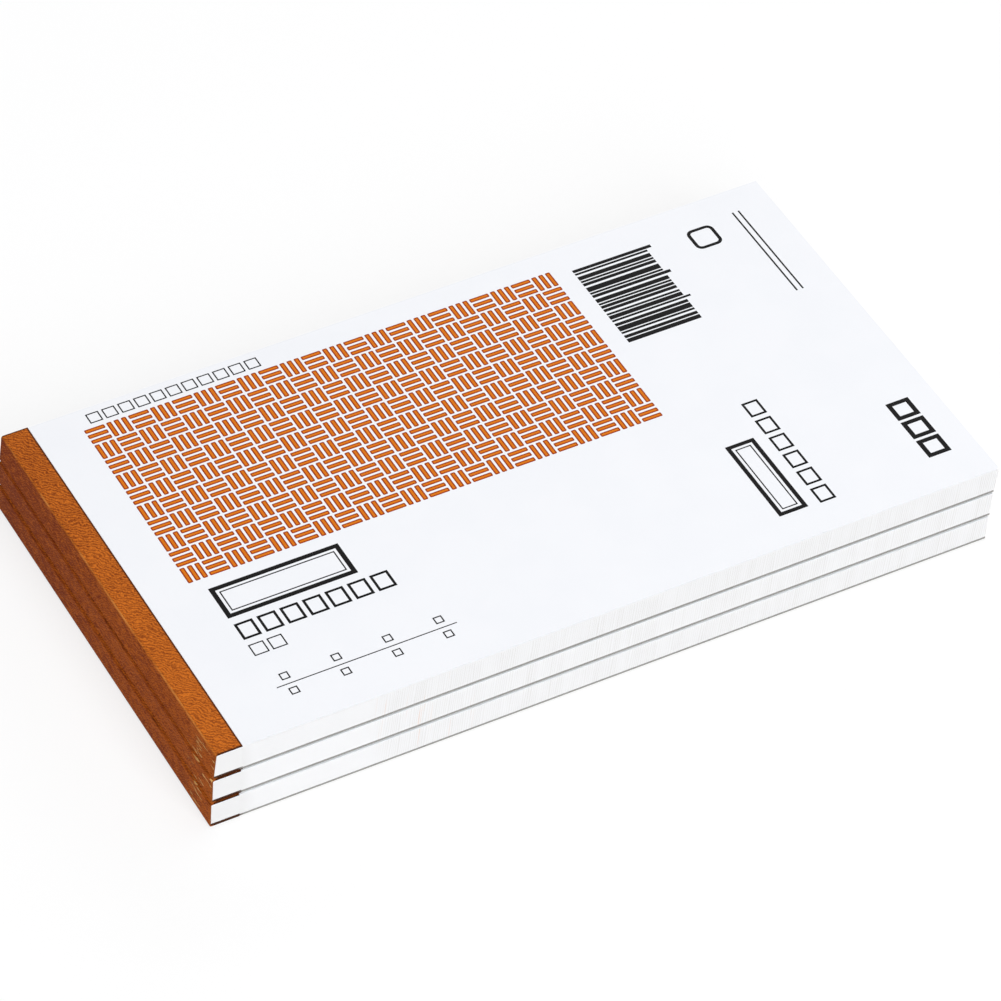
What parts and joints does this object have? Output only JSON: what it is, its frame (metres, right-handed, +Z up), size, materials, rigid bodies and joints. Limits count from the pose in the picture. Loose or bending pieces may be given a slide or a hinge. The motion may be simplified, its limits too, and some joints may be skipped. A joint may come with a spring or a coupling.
{
  "type": "receipt book set",
  "caption": "Stacked tape-bound receipt books with an opening cover, turning leaves, perforated stubs and a tear-off slip.",
  "frame": {"origin": "middle of the stack's bounding box, on the surface that it lies on", "axes": "+X from the spine to the free edge, +Y along the spine away from the viewer, +Z up through the stack"},
  "size_m": [0.1868, 0.1036, 0.02],
  "materials": {
    "card": "smooth coated white card",
    "board": "uncoated grey board",
    "paper": "uncoated white bond paper",
    "tape": "leather-grain coated cloth, brown",
    "wire": "galvanised stitching wire"
  },
  "bodies": {
    "bottom_book": {"bottom_spine_tape": "tape", "bottom_back_cover": "board", "bottom_sheet_margins": "paper", "bottom_staples": "wire", "bottom_cover_margin": "card", "bottom_front_cover": "card", "bottom_sheets": "paper"},
    "middle_book": {"middle_spine_tape": "tape", "middle_back_cover": "board", "middle_sheet_margins": "paper", "middle_staples": "wire", "middle_cover_margin": "card", "middle_front_cover": "card", "middle_sheets": "paper"},
    "top_book": {"top_spine_tape": "tape", "top_back_cover": "board", "top_sheet_margins": "paper", "top_staples": "wire", "top_cover_margin": "card", "top_sheets": "paper"},
    "top_cover": {"top_front_cover": "card"},
    "leaf_1": {"top_leaf_1_stub": "paper"},
    "slip": {"top_leaf_1_slip": "paper"},
    "leaf_2": {"top_leaf_2": "paper"},
    "leaf_3": {"top_leaf_3": "paper"},
    "leaf_4": {"top_leaf_4": "paper"},
    "leaf_5": {"top_leaf_5": "paper"}
  },
  "joints": [
    {"name": "middle_lift", "type": "slide", "parent": "bottom_book", "child": "middle_book", "axis": [0, 0, 1], "range_m": [0, 0.06]},
    {"name": "top_lift", "type": "slide", "parent": "middle_book", "child": "top_book", "axis": [0, 0, 1], "range_m": [0, 0.06]},
    {"name": "cover_open", "type": "hinge", "parent": "top_book", "child": "top_cover", "pos_m": [-0.08553, 0.00025, 0.02001], "axis": [0, -1, 0], "range_deg": [0, 180]},
    {"name": "leaf_1_turn", "type": "hinge", "parent": "top_book", "child": "leaf_1", "pos_m": [-0.08553, 0.00025, 0.02001], "axis": [0, -1, 0], "range_deg": [0, 167.4]},
    {"name": "leaf_2_turn", "type": "hinge", "parent": "top_book", "child": "leaf_2", "pos_m": [-0.08553, 0.00025, 0.02001], "axis": [0, -1, 0], "range_deg": [0, 140.4]},
    {"name": "leaf_3_turn", "type": "hinge", "parent": "top_book", "child": "leaf_3", "pos_m": [-0.08553, 0.00025, 0.02001], "axis": [0, -1, 0], "range_deg": [0, 108]},
    {"name": "leaf_4_turn", "type": "hinge", "parent": "top_book", "child": "leaf_4", "pos_m": [-0.08553, 0.00025, 0.02001], "axis": [0, -1, 0], "range_deg": [0, 72]},
    {"name": "leaf_5_turn", "type": "hinge", "parent": "top_book", "child": "leaf_5", "pos_m": [-0.08553, 0.00025, 0.02001], "axis": [0, -1, 0], "range_deg": [0, 36]},
    {"name": "slip_tear", "type": "slide", "parent": "leaf_1", "child": "slip", "axis": [1, 0, 0], "range_m": [0, 0.15]}
  ],
  "couplings": [
    {"joint": "leaf_1_turn", "follows": "cover_open", "ratio": 0.93},
    {"joint": "leaf_2_turn", "follows": "cover_open", "ratio": 0.78},
    {"joint": "leaf_3_turn", "follows": "cover_open", "ratio": 0.6},
    {"joint": "leaf_4_turn", "follows": "cover_open", "ratio": 0.4},
    {"joint": "leaf_5_turn", "follows": "cover_open", "ratio": 0.2}
  ]
}
